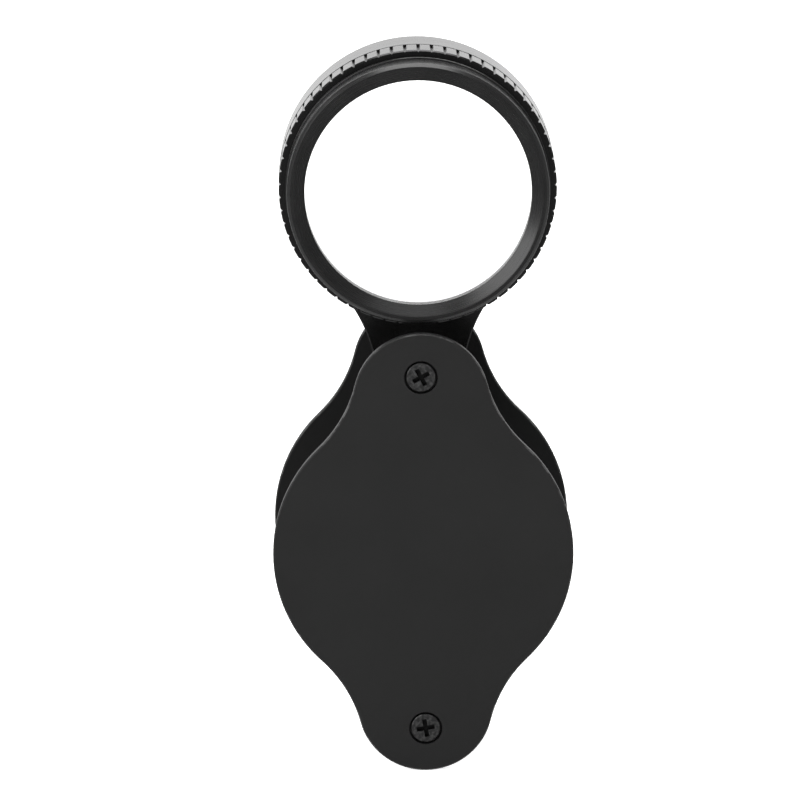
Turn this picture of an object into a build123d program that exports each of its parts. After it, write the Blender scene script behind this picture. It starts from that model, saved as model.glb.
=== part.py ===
from build123d import *
from math import sqrt
import os

# Folding hand lens, in millimetres.
# +Z runs along the open lens, from the case up to the glass, and +X to the right.
# The front cover faces -Y. The origin is the centre of the case, midway between the covers.

# ---------------------------------------------------------------- driving dimensions
# case
case_thickness = 16.2        # outer face to outer face of the covers
cover_thickness = 1.0
cover_round_radius = 14.0    # the broad middle of each cover
cover_lobe_radius = 6.3      # the narrow ends
cover_lobe_offset = 14.6     # from the middle to the centre of a narrow end
cover_waist_radius = 12.5    # hollow arcs between the middle and the ends
cover_edge_break = 0.12

# pivot and fasteners
screw_offset = 16.8          # from the case's centre to each screw
post_radius = 1.5            # pivot pillar
spacer_radius = 2.5          # lower pillar
thread_radius = 0.8
head_radius = 1.38
head_height = 0.55
head_recess = 0.06           # head below the cover's outer face
head_hole_radius = 1.56
shank_radius = 0.78
shank_length = 4.0
cross_span = 1.7
cross_width = 0.42
cross_depth = 0.42

# lens unit
lens_height = 33.7           # optical axis above the case's centre
arm_ring_radius = 12.95
arm_ring_front = 0.55
arm_ring_rear = 5.45
arm_hub_radius = 4.25
arm_neck_radius = 13.6       # hollow flanks of the neck
arm_neck_reach = 12.5        # circle about the optical axis that the flanks run out to
arm_edge_break = 0.12        # along the neck and the hub
ring_edge_break = 0.03
bush_radius = 2.2
running_gap = 0.04

barrel_front = -6.3
barrel_rear = 6.25
barrel_thread_radius = 12.15
barrel_bore_radius = 11.0
knurl_radius = 12.92
knurl_front = -2.95
knurl_count = 65
knurl_start = 89             # angle of the first groove, from +X towards +Z
knurl_groove_depth = 0.2
knurl_groove_width = 0.34
knurl_edge_break = 0.12
rim_radius = 11.85           # outer edge of the barrel's flat front rim
rim_rounding = 0.05
nose_radius = 12.15
nose_bevel = 0.32            # length along the axis of the bevel between rim and nose
nose_rounding = 0.12
flange_front = -3.3          # low flange between the nose and the lock ring
flange_radius = 12.3
flange_rounding = 0.1
barrel_tail_radius = 12.05   # the barrel's rear end, behind the arm's ring
ring_thread_end = -5.0       # where the retaining ring's thread stops

aperture_radius = 10.5
aperture_depth = 0.65        # from the retaining ring's face down to the aperture's edge
funnel_radius = 11.5
funnel_edge_break = 0.05
retaining_ring_radius = 11.6
ring_clearance = 0.03        # between the retaining ring's sleeve and the bore

# cemented triplet
lens_radius = 10.9
lens_edge_front = -4.5       # where the front surface meets the retaining ring
outer_curve = 40.0
inner_curve = 16.5
crown_edge = 1.2             # thickness of the middle element at its rim

# washers at the pivot
washer_thickness = 0.3
washer_radius = 2.25
collar_radius = 2.1
spring_strip = 0.18          # sheet thickness of the bowed spring washer
spring_height = 0.5          # its height under load

# ---------------------------------------------------------------- derived sizes
half_thickness = case_thickness / 2
half_gap = half_thickness - cover_thickness
post_hole = post_radius + running_gap
optical_axis = Axis((0, 0, lens_height), (0, 1, 0))
# half of a lens section: local X is the depth along the optical axis, local Y the radius
lens_section = Plane(origin=(0, 0, lens_height), x_dir=(0, 1, 0), z_dir=(1, 0, 0))


def depth_plane(depth, height=0.0):
    """Upright plane at a given depth whose local X, Y are +X, +Z; it faces the front."""
    return Plane(origin=(0, depth, height), x_dir=(1, 0, 0), z_dir=(0, -1, 0))


def outward_plane(side, distance, height):
    """Upright plane that faces out of the front (side -1) or the rear (side 1) of the case."""
    return Plane(origin=(0, side * distance, height), x_dir=(-side, 0, 0), z_dir=(0, side, 0))


def hollow_arc(lower_radius, upper_radius, centre_distance, arc_radius):
    """Ends of the hollow arc, on the right, that touches two circles from outside.

    The lower circle is centred on (0, 0) and the upper one on (0, centre_distance).
    """
    lower_reach = lower_radius + arc_radius
    upper_reach = upper_radius + arc_radius
    up = (lower_reach**2 - upper_reach**2 + centre_distance**2) / (2 * centre_distance)
    centre = Vector(sqrt(lower_reach**2 - up**2), up)
    upper_centre = Vector(0, centre_distance)
    lower_end = centre * (lower_radius / lower_reach)
    upper_end = upper_centre + (centre - upper_centre) * (upper_radius / upper_reach)
    return lower_end, upper_end


def mirrored(point):
    return Vector(-point.X, point.Y)


def finish(builder, name):
    """Label a finished piece and write it."""
    builder.part.label = name
    export_step(builder.part, f"parts/{name}.step")


def make_tube(name, outer, inner, start, end, height, edge_break=0.08):
    """Plain tube or washer along the depth, with its outer rims broken."""
    with BuildPart() as tube:
        with BuildSketch(depth_plane(start, height)):
            Circle(outer)
            Circle(inner, mode=Mode.SUBTRACT)
        extrude(amount=start - end)
        rims = tube.edges().filter_by(GeomType.CIRCLE).sort_by(SortBy.RADIUS)[-2:]
        chamfer(rims, length=edge_break)
    finish(tube, name)


def make_cover(name, side):
    """Flat cover plate with a sunk hole for each screw head."""
    waist_start, waist_end = hollow_arc(
        cover_round_radius, cover_lobe_radius, cover_lobe_offset, cover_waist_radius)
    round_side = Vector(cover_round_radius, 0)
    lobe_tip = Vector(0, cover_lobe_offset + cover_lobe_radius)
    with BuildPart() as cover:
        with BuildSketch(depth_plane(side * half_gap)):
            with BuildLine():
                RadiusArc(round_side, waist_start, -cover_round_radius)
                RadiusArc(waist_start, waist_end, cover_waist_radius)
                RadiusArc(waist_end, lobe_tip, -cover_lobe_radius)
                mirror(about=Plane.XZ)
                mirror(about=Plane.YZ)
            make_face()
        extrude(amount=-side * cover_thickness)
        chamfer(cover.edges().filter_by(Plane.XZ), length=cover_edge_break)
        with Locations(*[outward_plane(side, half_thickness, height)
                         for height in (-screw_offset, screw_offset)]):
            CounterBoreHole(
                radius=shank_radius + running_gap,
                counter_bore_radius=head_hole_radius,
                counter_bore_depth=head_height + head_recess,
                depth=cover_thickness)
    finish(cover, name)


def make_screw(name, side, height, turn):
    """Flat-headed machine screw with a cross recess, turned to where it was tightened."""
    head_face = outward_plane(side, half_thickness - head_recess, height)
    with BuildPart() as screw:
        with BuildSketch(head_face):
            Circle(head_radius)
        extrude(amount=-head_height)
        head_rim = screw.edges().filter_by(GeomType.CIRCLE).sort_by(Axis.Y)
        fillet(head_rim[-1] if side > 0 else head_rim[0], radius=0.16)
        with BuildSketch(head_face.offset(-head_height)):
            Circle(shank_radius)
        extrude(amount=-shank_length)
        tip_rim = screw.edges().filter_by(GeomType.CIRCLE).sort_by(Axis.Y)
        chamfer(tip_rim[0] if side > 0 else tip_rim[-1], length=0.2)
        with BuildSketch(head_face):
            Rectangle(cross_span, cross_width, rotation=turn)
            Rectangle(cross_width, cross_span, rotation=turn)
        extrude(amount=-cross_depth, mode=Mode.SUBTRACT)
    finish(screw, name)


def make_revolved(name, outline):
    """Piece turned about the optical axis, from a closed list of (depth, radius) points."""
    with BuildPart() as piece:
        with BuildSketch(lens_section):
            with BuildLine():
                Polyline(*outline, close=True)
            make_face()
        revolve(axis=optical_axis)
    finish(piece, name)


def sagitta(curve, radius):
    return curve - sqrt(curve**2 - radius**2)


def make_element(name, front, rear):
    """Lens element between two spherical faces.

    Each face is (vertex depth, radius of curvature); a positive radius bulges to the front.
    """
    rims = []
    for vertex, curve in (front, rear):
        fall = sagitta(abs(curve), lens_radius)
        rims.append((vertex + (fall if curve > 0 else -fall), lens_radius))
    (front_vertex, front_curve), (rear_vertex, rear_curve) = front, rear
    with BuildPart() as element:
        with BuildSketch(lens_section):
            with BuildLine():
                RadiusArc((front_vertex, 0), rims[0], front_curve)
                Line(rims[0], rims[1])
                RadiusArc((rear_vertex, 0), rims[1], rear_curve)
                Line((rear_vertex, 0), (front_vertex, 0))
            make_face()
        revolve(axis=optical_axis)
    finish(element, name)


os.makedirs("parts", exist_ok=True)

# ---------------------------------------------------------------- case
make_cover("front_cover", -1)
make_cover("rear_cover", 1)

for name, side, height, turn in (
        ("front_pivot_screw", -1, screw_offset, 28),
        ("front_spacer_screw", -1, -screw_offset, 9),
        ("rear_pivot_screw", 1, screw_offset, 62),
        ("rear_spacer_screw", 1, -screw_offset, 37)):
    make_screw(name, side, height, turn)

make_tube("pivot_post", post_radius, thread_radius, -half_gap, half_gap, screw_offset)
make_tube("spacer_post", spacer_radius, thread_radius, -half_gap, half_gap, -screw_offset)

# The hub runs between two thrust washers. A collar takes up the room in front of it, and
# a bowed spring washer behind it presses the stack together, so that the lens stays put.
front_thrust_end = arm_ring_front - running_gap
front_collar_end = front_thrust_end - washer_thickness
front_collar_start = washer_thickness - half_gap
rear_thrust_start = arm_ring_rear + running_gap
spring_start = rear_thrust_start + washer_thickness
spring_end = spring_start + spring_height

for name, outer, start, end in (
        ("front_friction_washer", washer_radius, -half_gap, front_collar_start),
        ("front_spacer_collar", collar_radius, front_collar_start, front_collar_end),
        ("front_thrust_washer", washer_radius, front_collar_end, front_thrust_end),
        ("rear_thrust_washer", washer_radius, rear_thrust_start, spring_start),
        ("rear_spacer_collar", collar_radius, spring_end, half_gap)):
    make_tube(name, outer, post_hole, start, end, screw_offset)

# Bowed spring washer: a ring cut from a strip that is curved about the X direction. Its
# middle touches the rear collar, and its top and bottom touch the thrust washer.
bow_rise = spring_height - spring_strip
bow_radius = (washer_radius**2 + bow_rise**2) / (2 * bow_rise)
bow_section = Plane(origin=(0, spring_end - bow_radius, screw_offset),
                    x_dir=(0, 1, 0), z_dir=(1, 0, 0))
with BuildPart() as spring_washer:
    with BuildSketch(depth_plane(spring_start, screw_offset)):
        Circle(washer_radius)
        Circle(post_hole, mode=Mode.SUBTRACT)
    extrude(amount=-spring_height)
    with BuildSketch(bow_section):
        Circle(bow_radius)
        Circle(bow_radius - spring_strip, mode=Mode.SUBTRACT)
    extrude(amount=washer_radius, both=True, mode=Mode.INTERSECT)
finish(spring_washer, "spring_washer")

# ---------------------------------------------------------------- lens unit
def is_ring_edge(edge):
    return abs(edge.radius - arm_ring_radius) < 0.001


# The arm is one plate: a threaded ring for the lens, a waisted neck and the pivot hub.
flank_low, flank_high = hollow_arc(
    arm_hub_radius, arm_neck_reach, lens_height - screw_offset, arm_neck_radius)
with BuildPart() as lens_arm:
    with BuildSketch(depth_plane(arm_ring_front, screw_offset)):
        with BuildLine():
            RadiusArc(flank_low, flank_high, arm_neck_radius)
            Line(flank_high, mirrored(flank_high))
            RadiusArc(mirrored(flank_high), mirrored(flank_low), arm_neck_radius)
            Line(mirrored(flank_low), flank_low)
        make_face()
        Circle(arm_hub_radius)
        Circle(bush_radius, mode=Mode.SUBTRACT)
        with Locations((0, lens_height - screw_offset)):
            Circle(arm_ring_radius)
            Circle(barrel_thread_radius, mode=Mode.SUBTRACT)
    extrude(amount=arm_ring_front - arm_ring_rear)
    # The milled neck and hub have a wider edge break than the turned ring.
    for is_neck, edge_break in ((True, arm_edge_break), (False, ring_edge_break)):
        for end in (0, -1):
            outline = lens_arm.faces().filter_by(Plane.XZ).sort_by(Axis.Y)[end].outer_wire()
            chamfer(outline.edges().filter_by(is_ring_edge, reverse=is_neck), length=edge_break)
finish(lens_arm, "lens_arm")

make_tube("pivot_bush", bush_radius, post_hole, arm_ring_front, arm_ring_rear, screw_offset)

# The barrel screws through the arm's ring. Its nose stands out in front, with a flat rim, a
# bevel and a low flange, and at the rear an inner shoulder holds the glass.
lens_edge_rear = -lens_edge_front
nose_start = barrel_front + nose_bevel
with BuildPart() as lens_barrel:
    with BuildSketch(lens_section) as barrel_half:
        with BuildLine():
            Polyline(
                (barrel_front, retaining_ring_radius),
                (barrel_front, rim_radius),
                (nose_start, nose_radius),
                (flange_front, nose_radius),
                (flange_front, flange_radius),
                (knurl_front, flange_radius),
                (knurl_front, barrel_thread_radius),
                (arm_ring_rear, barrel_thread_radius),
                (arm_ring_rear + 0.1, barrel_tail_radius),
                (barrel_rear - 0.25, barrel_tail_radius),
                (barrel_rear, barrel_tail_radius - 0.25),
                (barrel_rear, retaining_ring_radius),
                (barrel_rear - aperture_depth, aperture_radius),
                (lens_edge_rear, aperture_radius),
                (lens_edge_rear, barrel_bore_radius),
                (ring_thread_end, barrel_bore_radius),
                (ring_thread_end, retaining_ring_radius),
                close=True)
        make_face()
        for depth, radius, rounding in (
                (barrel_front, rim_radius, rim_rounding),
                (nose_start, nose_radius, nose_rounding),
                (flange_front, flange_radius, flange_rounding)):
            corner = barrel_half.vertices().sort_by_distance((depth, radius))[0]
            fillet(corner, radius=rounding)
    revolve(axis=optical_axis)
finish(lens_barrel, "lens_barrel")

# Retaining ring: a threaded rim with a funnel face, and a sleeve that bears on the glass.
sleeve_radius = barrel_bore_radius - ring_clearance
make_revolved("retaining_ring", [
    (barrel_front, funnel_radius + funnel_edge_break),
    (barrel_front, retaining_ring_radius),
    (ring_thread_end, retaining_ring_radius),
    (ring_thread_end, sleeve_radius),
    (lens_edge_front - 0.15, sleeve_radius),
    (lens_edge_front, aperture_radius),
    (barrel_front + aperture_depth, aperture_radius),
    (barrel_front + funnel_edge_break, funnel_radius - funnel_edge_break),
])

# Knurled lock ring: it tightens against the arm's ring, and its V grooves run along the axis.
with BuildPart() as knurled_lock_ring:
    with BuildSketch(depth_plane(knurl_front, lens_height)):
        Circle(knurl_radius)
        Circle(barrel_thread_radius, mode=Mode.SUBTRACT)
        with PolarLocations(knurl_radius, knurl_count, start_angle=knurl_start):
            Polygon((-knurl_groove_depth, 0), (0, -knurl_groove_width / 2),
                    (knurl_groove_depth, 0), (0, knurl_groove_width / 2), mode=Mode.SUBTRACT)
    extrude(amount=knurl_front - arm_ring_front)
    with BuildSketch(lens_section):
        with BuildLine():
            Polyline((knurl_front, knurl_radius - knurl_edge_break),
                     (knurl_front, knurl_radius + knurl_edge_break),
                     (knurl_front + knurl_edge_break, knurl_radius + knurl_edge_break),
                     (knurl_front + knurl_edge_break, knurl_radius), close=True)
        make_face()
    revolve(axis=optical_axis, mode=Mode.SUBTRACT)
finish(knurled_lock_ring, "knurled_lock_ring")

# Cemented triplet: a middle element that bulges both ways between two cup-shaped ones.
outer_vertex = lens_edge_rear + sagitta(outer_curve, aperture_radius)
inner_vertex = crown_edge / 2 + sagitta(inner_curve, lens_radius)
make_element("front_flint_element", (-outer_vertex, outer_curve), (-inner_vertex, inner_curve))
make_element("crown_element", (-inner_vertex, inner_curve), (inner_vertex, -inner_curve))
make_element("rear_flint_element", (inner_vertex, -inner_curve), (outer_vertex, -outer_curve))
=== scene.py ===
from math import asin, cos, pi, radians, sin

import bmesh
import bpy
from mathutils import Matrix, Vector


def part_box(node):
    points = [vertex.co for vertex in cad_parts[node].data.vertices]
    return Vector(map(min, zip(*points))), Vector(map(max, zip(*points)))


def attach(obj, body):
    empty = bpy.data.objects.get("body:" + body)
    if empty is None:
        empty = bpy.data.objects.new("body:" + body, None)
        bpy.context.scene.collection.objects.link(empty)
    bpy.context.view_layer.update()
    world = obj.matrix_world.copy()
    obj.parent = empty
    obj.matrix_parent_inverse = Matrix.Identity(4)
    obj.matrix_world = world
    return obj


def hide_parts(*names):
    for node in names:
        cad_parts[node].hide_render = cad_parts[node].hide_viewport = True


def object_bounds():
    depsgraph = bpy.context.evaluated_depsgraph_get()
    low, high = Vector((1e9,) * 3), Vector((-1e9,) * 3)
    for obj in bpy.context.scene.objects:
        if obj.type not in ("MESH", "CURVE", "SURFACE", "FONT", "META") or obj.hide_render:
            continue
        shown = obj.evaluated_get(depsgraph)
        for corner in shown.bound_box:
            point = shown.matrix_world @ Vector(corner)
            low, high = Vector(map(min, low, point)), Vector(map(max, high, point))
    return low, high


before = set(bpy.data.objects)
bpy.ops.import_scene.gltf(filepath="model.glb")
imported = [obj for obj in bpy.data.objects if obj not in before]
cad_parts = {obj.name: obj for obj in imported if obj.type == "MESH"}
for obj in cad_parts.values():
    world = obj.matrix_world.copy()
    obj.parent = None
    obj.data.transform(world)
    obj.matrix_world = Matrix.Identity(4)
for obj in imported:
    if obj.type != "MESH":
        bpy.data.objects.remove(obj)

# Looks for a folding hand lens: black covers, a black turned lens mount and clear glass.
# Everything is in metres, in the frame of the CAD model.

cad_low, cad_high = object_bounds()
mm = 0.001

arm_low, arm_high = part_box("lens_arm")
ring_radius = arm_high.x
lens_height = arm_high.z - ring_radius        # optical axis above the case's centre
pivot_low, pivot_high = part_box("pivot_post")
pivot_height = (pivot_low.z + pivot_high.z) / 2
inner_face_depth = -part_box("front_cover")[1].y        # of both covers, from the case's middle
screw_face_depth = -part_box("front_pivot_screw")[0].y


# ---------------------------------------------------------------- node helpers
def set_input(tree, node, name, value):
    """Link a socket to a node's input, or set the input's own value."""
    if isinstance(value, bpy.types.NodeSocket):
        tree.links.new(value, node.inputs[name])
    else:
        node.inputs[name].default_value = value


def add_node(tree, kind, inputs=None, **settings):
    node = tree.nodes.new(kind)
    for name, value in settings.items():
        setattr(node, name, value)
    for name, value in (inputs or {}).items():
        set_input(tree, node, name, value)
    return node


def math_node(tree, operation, *values, clamp=False):
    inputs = dict(enumerate(values))
    return add_node(tree, "ShaderNodeMath", inputs, operation=operation, use_clamp=clamp).outputs[0]


def map_range(tree, value, low, high, to_low=0.0, to_high=1.0, smooth=False):
    node = add_node(
        tree, "ShaderNodeMapRange",
        {"Value": value, "From Min": low, "From Max": high, "To Min": to_low, "To Max": to_high},
        interpolation_type="SMOOTHSTEP" if smooth else "LINEAR")
    return node.outputs["Result"]


def mix_colour(tree, factor, first, second):
    """Blend two colours; the sockets are given by the places of the node's colour sockets."""
    node = add_node(tree, "ShaderNodeMix", {0: factor, 6: first, 7: second}, data_type="RGBA")
    return node.outputs[2]


def grey(value):
    return (value, value, value, 1.0)


def noise(tree, vector, scale, detail=2.0, roughness=0.5):
    node = add_node(tree, "ShaderNodeTexNoise",
                    {"Vector": vector, "Scale": scale, "Detail": detail, "Roughness": roughness})
    return node.outputs["Fac"]


def object_position(tree):
    return add_node(tree, "ShaderNodeTexCoord").outputs["Object"]


def components(tree, vector):
    return add_node(tree, "ShaderNodeSeparateXYZ", {0: vector}).outputs


def distance_along_axis(tree, vector):
    """Size of a vector's part along Y; for a position, how far it is from the case's middle."""
    return math_node(tree, "ABSOLUTE", components(tree, vector)["Y"])


def new_material(name, **constants):
    """Material with one Principled shader, whose constant sockets are given by name."""
    material = bpy.data.materials.new(name)
    material.use_nodes = True
    tree = material.node_tree
    tree.nodes.clear()
    shader = add_node(tree, "ShaderNodeBsdfPrincipled", constants)
    output = add_node(tree, "ShaderNodeOutputMaterial")
    tree.links.new(shader.outputs[0], output.inputs["Surface"])
    return material, tree, shader


def set_bump(tree, shader, height, strength, distance):
    bump = add_node(tree, "ShaderNodeBump",
                    {"Height": height, "Strength": strength, "Distance": distance})
    tree.links.new(bump.outputs["Normal"], shader.inputs["Normal"])


def turned_vector(tree, axis_height):
    """Coordinates that hardly change along a tool's path round an axis parallel to Y.

    They are (radius, depth, a little of the angle), so a fine noise on them gives turning marks.
    """
    length_per_radian = 0.1 * mm
    moved = add_node(tree, "ShaderNodeVectorMath",
                     {0: object_position(tree), 1: (0, 0, axis_height)}, operation="SUBTRACT")
    parts = components(tree, moved.outputs[0])
    squares = math_node(tree, "ADD", math_node(tree, "MULTIPLY", parts["X"], parts["X"]),
                        math_node(tree, "MULTIPLY", parts["Z"], parts["Z"]))
    radius = math_node(tree, "SQRT", squares)
    angle = math_node(tree, "ARCTAN2", parts["Z"], parts["X"])
    slow_angle = math_node(tree, "MULTIPLY", angle, length_per_radian)
    return add_node(tree, "ShaderNodeCombineXYZ",
                    {"X": radius, "Y": parts["Y"], "Z": slow_angle}).outputs[0]


# ---------------------------------------------------------------- materials
# Noise scales are cells per metre, and most of a noise's values lie in this range.
noise_range = 0.3, 0.7


def cover_paint():
    """Matte black paint with a fine orange-peel grain, worn a little on the broken edges.

    The faces within the case are painted a darker black, as painted shade between the covers.
    """
    uneven_scale, grain_scale, wear_scale = 130, 5200, 900
    material, tree, shader = new_material("cover_paint", **{"Specular IOR Level": 0.42})
    position = object_position(tree)
    unevenness = noise(tree, position, uneven_scale, detail=3)
    grain = noise(tree, position, grain_scale, detail=2)
    paint = mix_colour(tree, map_range(tree, unevenness, *noise_range), grey(0.0118), grey(0.0132))
    # The edge breaks face partly along Y: more than the rims do, and less than the faces.
    facing = distance_along_axis(tree, add_node(tree, "ShaderNodeTexCoord").outputs["Normal"])
    on_edge = math_node(tree, "MULTIPLY", map_range(tree, facing, 0.3, 0.5),
                        map_range(tree, facing, 0.97, 0.85))
    patches = map_range(tree, noise(tree, position, wear_scale, detail=3), 0.5, 0.66)
    wear = math_node(tree, "MULTIPLY", on_edge, patches, clamp=True)
    worn_paint = mix_colour(tree, wear, paint, grey(0.07))
    # Painted shade: the faces within the case, between the covers, get a darker black.
    depth = distance_along_axis(tree, position)
    painted_inside_shade = math_node(tree, "LESS_THAN", depth, inner_face_depth + 0.02 * mm)
    tone = mix_colour(tree, painted_inside_shade, worn_paint, grey(0.006))
    tree.links.new(tone, shader.inputs["Base Color"])
    finish = map_range(tree, unevenness, *noise_range, 0.515, 0.545)
    tree.links.new(finish, shader.inputs["Roughness"])
    set_bump(tree, shader, grain, 0.22, 0.02 * mm)
    return material


def turned_metal(name, colour, axis_height, roughness, mark_strength, **constants):
    """Turned metal: fine marks run round an axis parallel to Y, over a faint mottling."""
    mark_scale, mottling_scale = 14000, 420
    roughness_spread = 0.04
    material, tree, shader = new_material(name, **constants)
    marks = noise(tree, turned_vector(tree, axis_height), mark_scale, detail=2, roughness=0.6)
    mottling = noise(tree, object_position(tree), mottling_scale, detail=3)
    darker = tuple(0.8 * channel for channel in colour[:3]) + (1.0,)
    tone = mix_colour(tree, map_range(tree, mottling, 0.35, 0.65), darker, colour)
    tree.links.new(tone, shader.inputs["Base Color"])
    finish = map_range(tree, marks, *noise_range,
                       roughness - roughness_spread, roughness + roughness_spread)
    tree.links.new(finish, shader.inputs["Roughness"])
    set_bump(tree, shader, marks, mark_strength, 0.01 * mm)
    return material


def screw_steel():
    """Blackened steel, rubbed grey on the head's face; the cross recess is coloured near black as
    painted shade.
    """
    patch_scale, pitting_scale = 2600, 9000
    recess_shade_below, rubbed_above = screw_face_depth - 0.12 * mm, screw_face_depth - 0.03 * mm
    material, tree, shader = new_material("screw_steel", Metallic=0.75)
    position = object_position(tree)
    patches = map_range(tree, noise(tree, position, patch_scale, detail=4, roughness=0.6), 0.42, 0.68)
    # Painted shade: from the head's face down into the recess the colour falls to near black; on the
    # face the mask also sets the rubbed wear.
    face_wear_and_recess_shade = map_range(tree, distance_along_axis(tree, position), recess_shade_below, rubbed_above)
    rubbed = math_node(tree, "MULTIPLY", patches, face_wear_and_recess_shade)
    face_tone = mix_colour(tree, patches, grey(0.045), grey(0.13))
    tree.links.new(mix_colour(tree, face_wear_and_recess_shade, grey(0.012), face_tone), shader.inputs["Base Color"])
    tree.links.new(map_range(tree, rubbed, 0, 1, 0.5, 0.34), shader.inputs["Roughness"])
    set_bump(tree, shader, noise(tree, position, pitting_scale, detail=2), 0.3, 0.02 * mm)
    return material


def washer_plastic():
    """Black low-friction plastic, faintly cloudy."""
    cloud_scale, grain_scale = 700, 6000
    material, tree, shader = new_material("washer_plastic")
    position = object_position(tree)
    cloud = noise(tree, position, cloud_scale, detail=3)
    tree.links.new(mix_colour(tree, cloud, grey(0.02), grey(0.035)), shader.inputs["Base Color"])
    tree.links.new(map_range(tree, cloud, *noise_range, 0.45, 0.6), shader.inputs["Roughness"])
    set_bump(tree, shader, noise(tree, position, grain_scale), 0.2, 0.01 * mm)
    return material


def optical_glass():
    """Clear glass, with a trace of surface haze in its roughness."""
    material, tree, shader = new_material(
        "optical_glass", **{"Transmission Weight": 1.0, "IOR": 1.7, "Base Color": grey(1.0)})
    haze_scale = 300
    haze = noise(tree, object_position(tree), haze_scale, detail=2)
    tree.links.new(map_range(tree, haze, 0.4, 0.8, 0.0, 0.012), shader.inputs["Roughness"])
    return material


def dress(material, *names):
    """Give CAD nodes a material in place of the plain one that they came with."""
    for name in names:
        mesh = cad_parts[name].data
        mesh.materials.clear()
        mesh.materials.append(material)


barrel_metal = turned_metal("barrel_anodised", grey(0.013), lens_height, 0.27, 0.3)
black_metal = turned_metal("black_anodised", grey(0.007), lens_height, 0.19, 0.12)
pillar_metal = turned_metal("black_pillar", grey(0.025), pivot_height, 0.38, 0.4)
low_pillar_metal = turned_metal("black_pillar_low", grey(0.025), -pivot_height, 0.38, 0.4)
steel = turned_metal("bright_steel", grey(0.5), pivot_height, 0.3, 0.4, Metallic=1.0)
brass = turned_metal("bush_brass", (0.62, 0.46, 0.2, 1), pivot_height, 0.32, 0.4, Metallic=1.0)
glass = optical_glass()

dress(cover_paint(), "front_cover", "rear_cover")
dress(barrel_metal, "lens_barrel", "retaining_ring")
dress(black_metal, "lens_arm", "knurled_lock_ring")
dress(pillar_metal, "front_spacer_collar", "rear_spacer_collar")
dress(low_pillar_metal, "spacer_post")
dress(steel, "pivot_post", "spring_washer")
dress(brass, "pivot_bush")
dress(screw_steel(), "front_pivot_screw", "rear_pivot_screw",
      "front_spacer_screw", "rear_spacer_screw")
dress(washer_plastic(), "front_friction_washer", "front_thrust_washer", "rear_thrust_washer")


# ---------------------------------------------------------------- glass
def lathe(name, outline, steps=192):
    """Closed solid turned about the optical axis from (depth, radius) points.

    An outline that starts and ends at radius 0 is closed by its poles.
    """
    mesh = bmesh.new()
    rings = []
    for depth, radius in outline:
        if radius < 1e-7:
            rings.append([mesh.verts.new((0, depth, lens_height))])
            continue
        ring = []
        for step in range(steps):
            angle = 2 * pi * step / steps
            ring.append(mesh.verts.new(
                (radius * cos(angle), depth, lens_height + radius * sin(angle))))
        rings.append(ring)
    for first, second in zip(rings, rings[1:]):
        for step in range(steps):
            after = (step + 1) % steps
            corners = [first[step % len(first)], first[after % len(first)],
                       second[after % len(second)], second[step % len(second)]]
            unique = list(dict.fromkeys(corners))
            mesh.faces.new(unique)
    bmesh.ops.recalc_face_normals(mesh, faces=mesh.faces)
    data = bpy.data.meshes.new(name)
    mesh.to_mesh(data)
    mesh.free()
    piece = bpy.data.objects.new(name, data)
    bpy.context.scene.collection.objects.link(piece)
    data.polygons.foreach_set("use_smooth", [True] * len(data.polygons))
    return piece


def cap_points(vertex, curve, radius, steps=28):
    """Points of a spherical face from its vertex on the axis out to its rim.

    A positive curve bulges to the front, and a negative one to the rear.
    """
    half_angle = asin(radius / abs(curve))
    points = []
    for step in range(steps + 1):
        angle = half_angle * step / steps
        points.append((vertex + curve * (1 - cos(angle)), abs(curve) * sin(angle)))
    return points


# The triplet's cemented faces don't show, so one clear body stands for its three elements.
outer_curve = 40 * mm
front_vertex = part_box("front_flint_element")[0].y
rear_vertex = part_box("rear_flint_element")[1].y
lens_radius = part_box("crown_element")[1].x
front_cap = cap_points(front_vertex, outer_curve, lens_radius)
rear_cap = cap_points(rear_vertex, -outer_curve, lens_radius)
glass_body = lathe("lens_glass", front_cap + rear_cap[::-1])
glass_body.data.materials.append(glass)
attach(glass_body, "lens_unit")
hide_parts("front_flint_element", "crown_element", "rear_flint_element")


# ---------------------------------------------------------------- stage
def emission_floor(floor_glow):
    """Pale matte floor, lit partly from below so that only a faint shadow is left on it."""
    material = bpy.data.materials.new("stage_floor")
    material.use_nodes = True
    tree = material.node_tree
    tree.nodes.clear()
    speckle_scale = 40
    speckle = noise(tree, object_position(tree), speckle_scale, detail=2)
    tone = mix_colour(tree, speckle, grey(0.8), grey(0.82))
    matte = add_node(tree, "ShaderNodeBsdfDiffuse", {"Color": tone})
    glow = add_node(tree, "ShaderNodeEmission", {"Color": grey(1.0), "Strength": floor_glow})
    both = add_node(tree, "ShaderNodeAddShader", {0: matte.outputs[0], 1: glow.outputs[0]})
    output = add_node(tree, "ShaderNodeOutputMaterial")
    tree.links.new(both.outputs[0], output.inputs["Surface"])
    return material


floor_reach = 4.0
floor_data = bpy.data.meshes.new("floor")
floor_data.from_pydata(
    [(x, y, cad_low.z) for x, y in ((-floor_reach, -floor_reach), (floor_reach, -floor_reach),
                                    (floor_reach, floor_reach), (-floor_reach, floor_reach))],
    [], [(0, 1, 2, 3)])
floor = bpy.data.objects.new("floor", floor_data)
floor_data.materials.append(emission_floor(floor_glow=0.8))
floor.visible_glossy = False
bpy.context.scene.collection.objects.link(floor)


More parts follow.
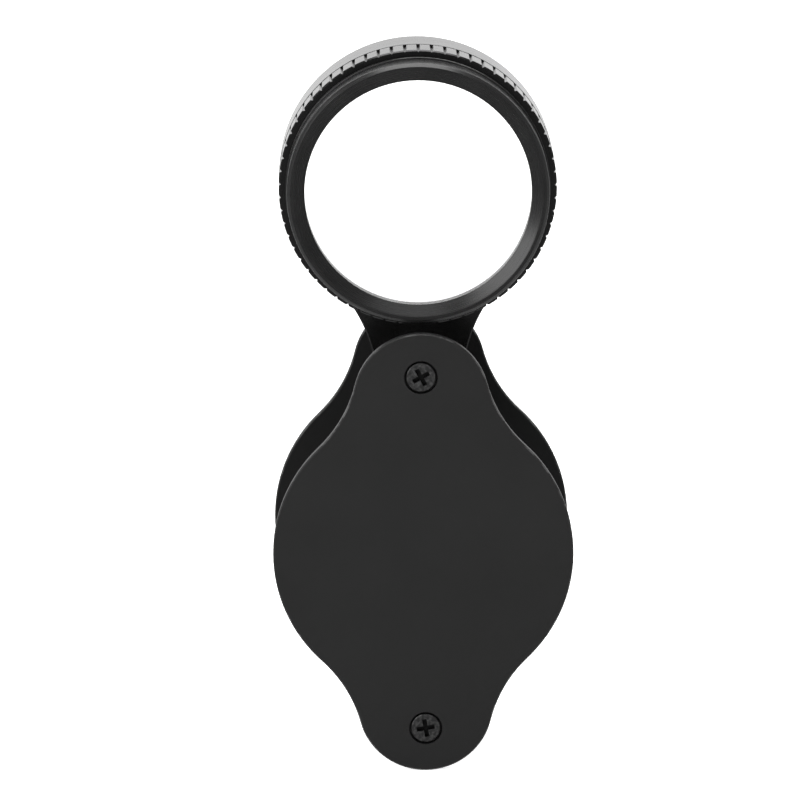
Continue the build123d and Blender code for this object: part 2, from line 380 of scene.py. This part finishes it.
def studio_world(behind, in_front, through_lens=1.3):
    """White surroundings for the eye; the object is lit brightly from behind, dimly in front.

    They are a little brighter through the glass, to make up for what its faces reflect.
    """
    world = bpy.data.worlds.new("studio")
    bpy.context.scene.world = world
    world.use_nodes = True
    tree = world.node_tree
    tree.nodes.clear()
    direction = add_node(tree, "ShaderNodeTexCoord").outputs["Generated"]
    depth = add_node(tree, "ShaderNodeSeparateXYZ", {0: direction}).outputs["Y"]
    brightness = map_range(tree, depth, -0.1, 0.7, in_front, behind, smooth=True)
    rays = add_node(tree, "ShaderNodeLightPath").outputs
    lit = mix_colour(tree, rays["Is Transmission Ray"], brightness, grey(through_lens))
    strength = mix_colour(tree, rays["Is Camera Ray"], lit, grey(1.0))
    sky = add_node(tree, "ShaderNodeBackground", {"Color": grey(1.0), "Strength": strength})
    output = add_node(tree, "ShaderNodeOutputWorld")
    tree.links.new(sky.outputs[0], output.inputs["Surface"])


def softbox(name, azimuth, elevation, distance, size, power):
    """Square area light that faces the lens, from a direction round the object."""
    turn, rise = radians(azimuth), radians(elevation)
    away = Vector((sin(turn) * cos(rise), -cos(turn) * cos(rise), sin(rise)))
    data = bpy.data.lights.new(name, "AREA")
    data.size, data.energy = size, power
    lamp = bpy.data.objects.new(name, data)
    target = Vector((0, 0, lens_height))
    lamp.location = target + away * distance
    lamp.rotation_euler = away.to_track_quat("Z", "Y").to_euler()
    bpy.context.scene.collection.objects.link(lamp)
    return lamp


studio_world(behind=1.25, in_front=0.2)
softbox("top_box", azimuth=180, elevation=83, distance=0.9, size=0.66, power=6.8)
softbox("side_box", azimuth=-54, elevation=26, distance=0.9, size=0.65, power=4.3)
softbox("front_box", azimuth=8, elevation=56, distance=0.9, size=0.55, power=1.0)

# ---------------------------------------------------------------- camera
# A long lens, looking down on the object from the front, with a slight tilt to one side.
camera_distance = 0.5309
camera_rise, camera_turn, camera_tilt = radians(12.28), radians(0.39), radians(-0.82)
camera_aim = Vector((-1.95, -5.03, 14.05)) * mm
forward = Vector((sin(camera_turn) * cos(camera_rise), cos(camera_turn) * cos(camera_rise),
                  -sin(camera_rise)))
level = forward.cross(Vector((0, 0, 1))).normalized()
upright = level.cross(forward)
camera_right = level * cos(camera_tilt) + upright * sin(camera_tilt)
camera_up = upright * cos(camera_tilt) - level * sin(camera_tilt)
axes = Matrix((camera_right, camera_up, -forward)).transposed()

camera_data = bpy.data.cameras.new("camera")
camera_data.lens = 256.6
camera_data.clip_start = 0.01
camera = bpy.data.objects.new("camera", camera_data)
camera.matrix_world = Matrix.Translation(camera_aim - forward * camera_distance) @ axes.to_4x4()
bpy.context.scene.collection.objects.link(camera)
bpy.context.scene.camera = camera
bpy.context.scene.view_settings.view_transform = "Standard"
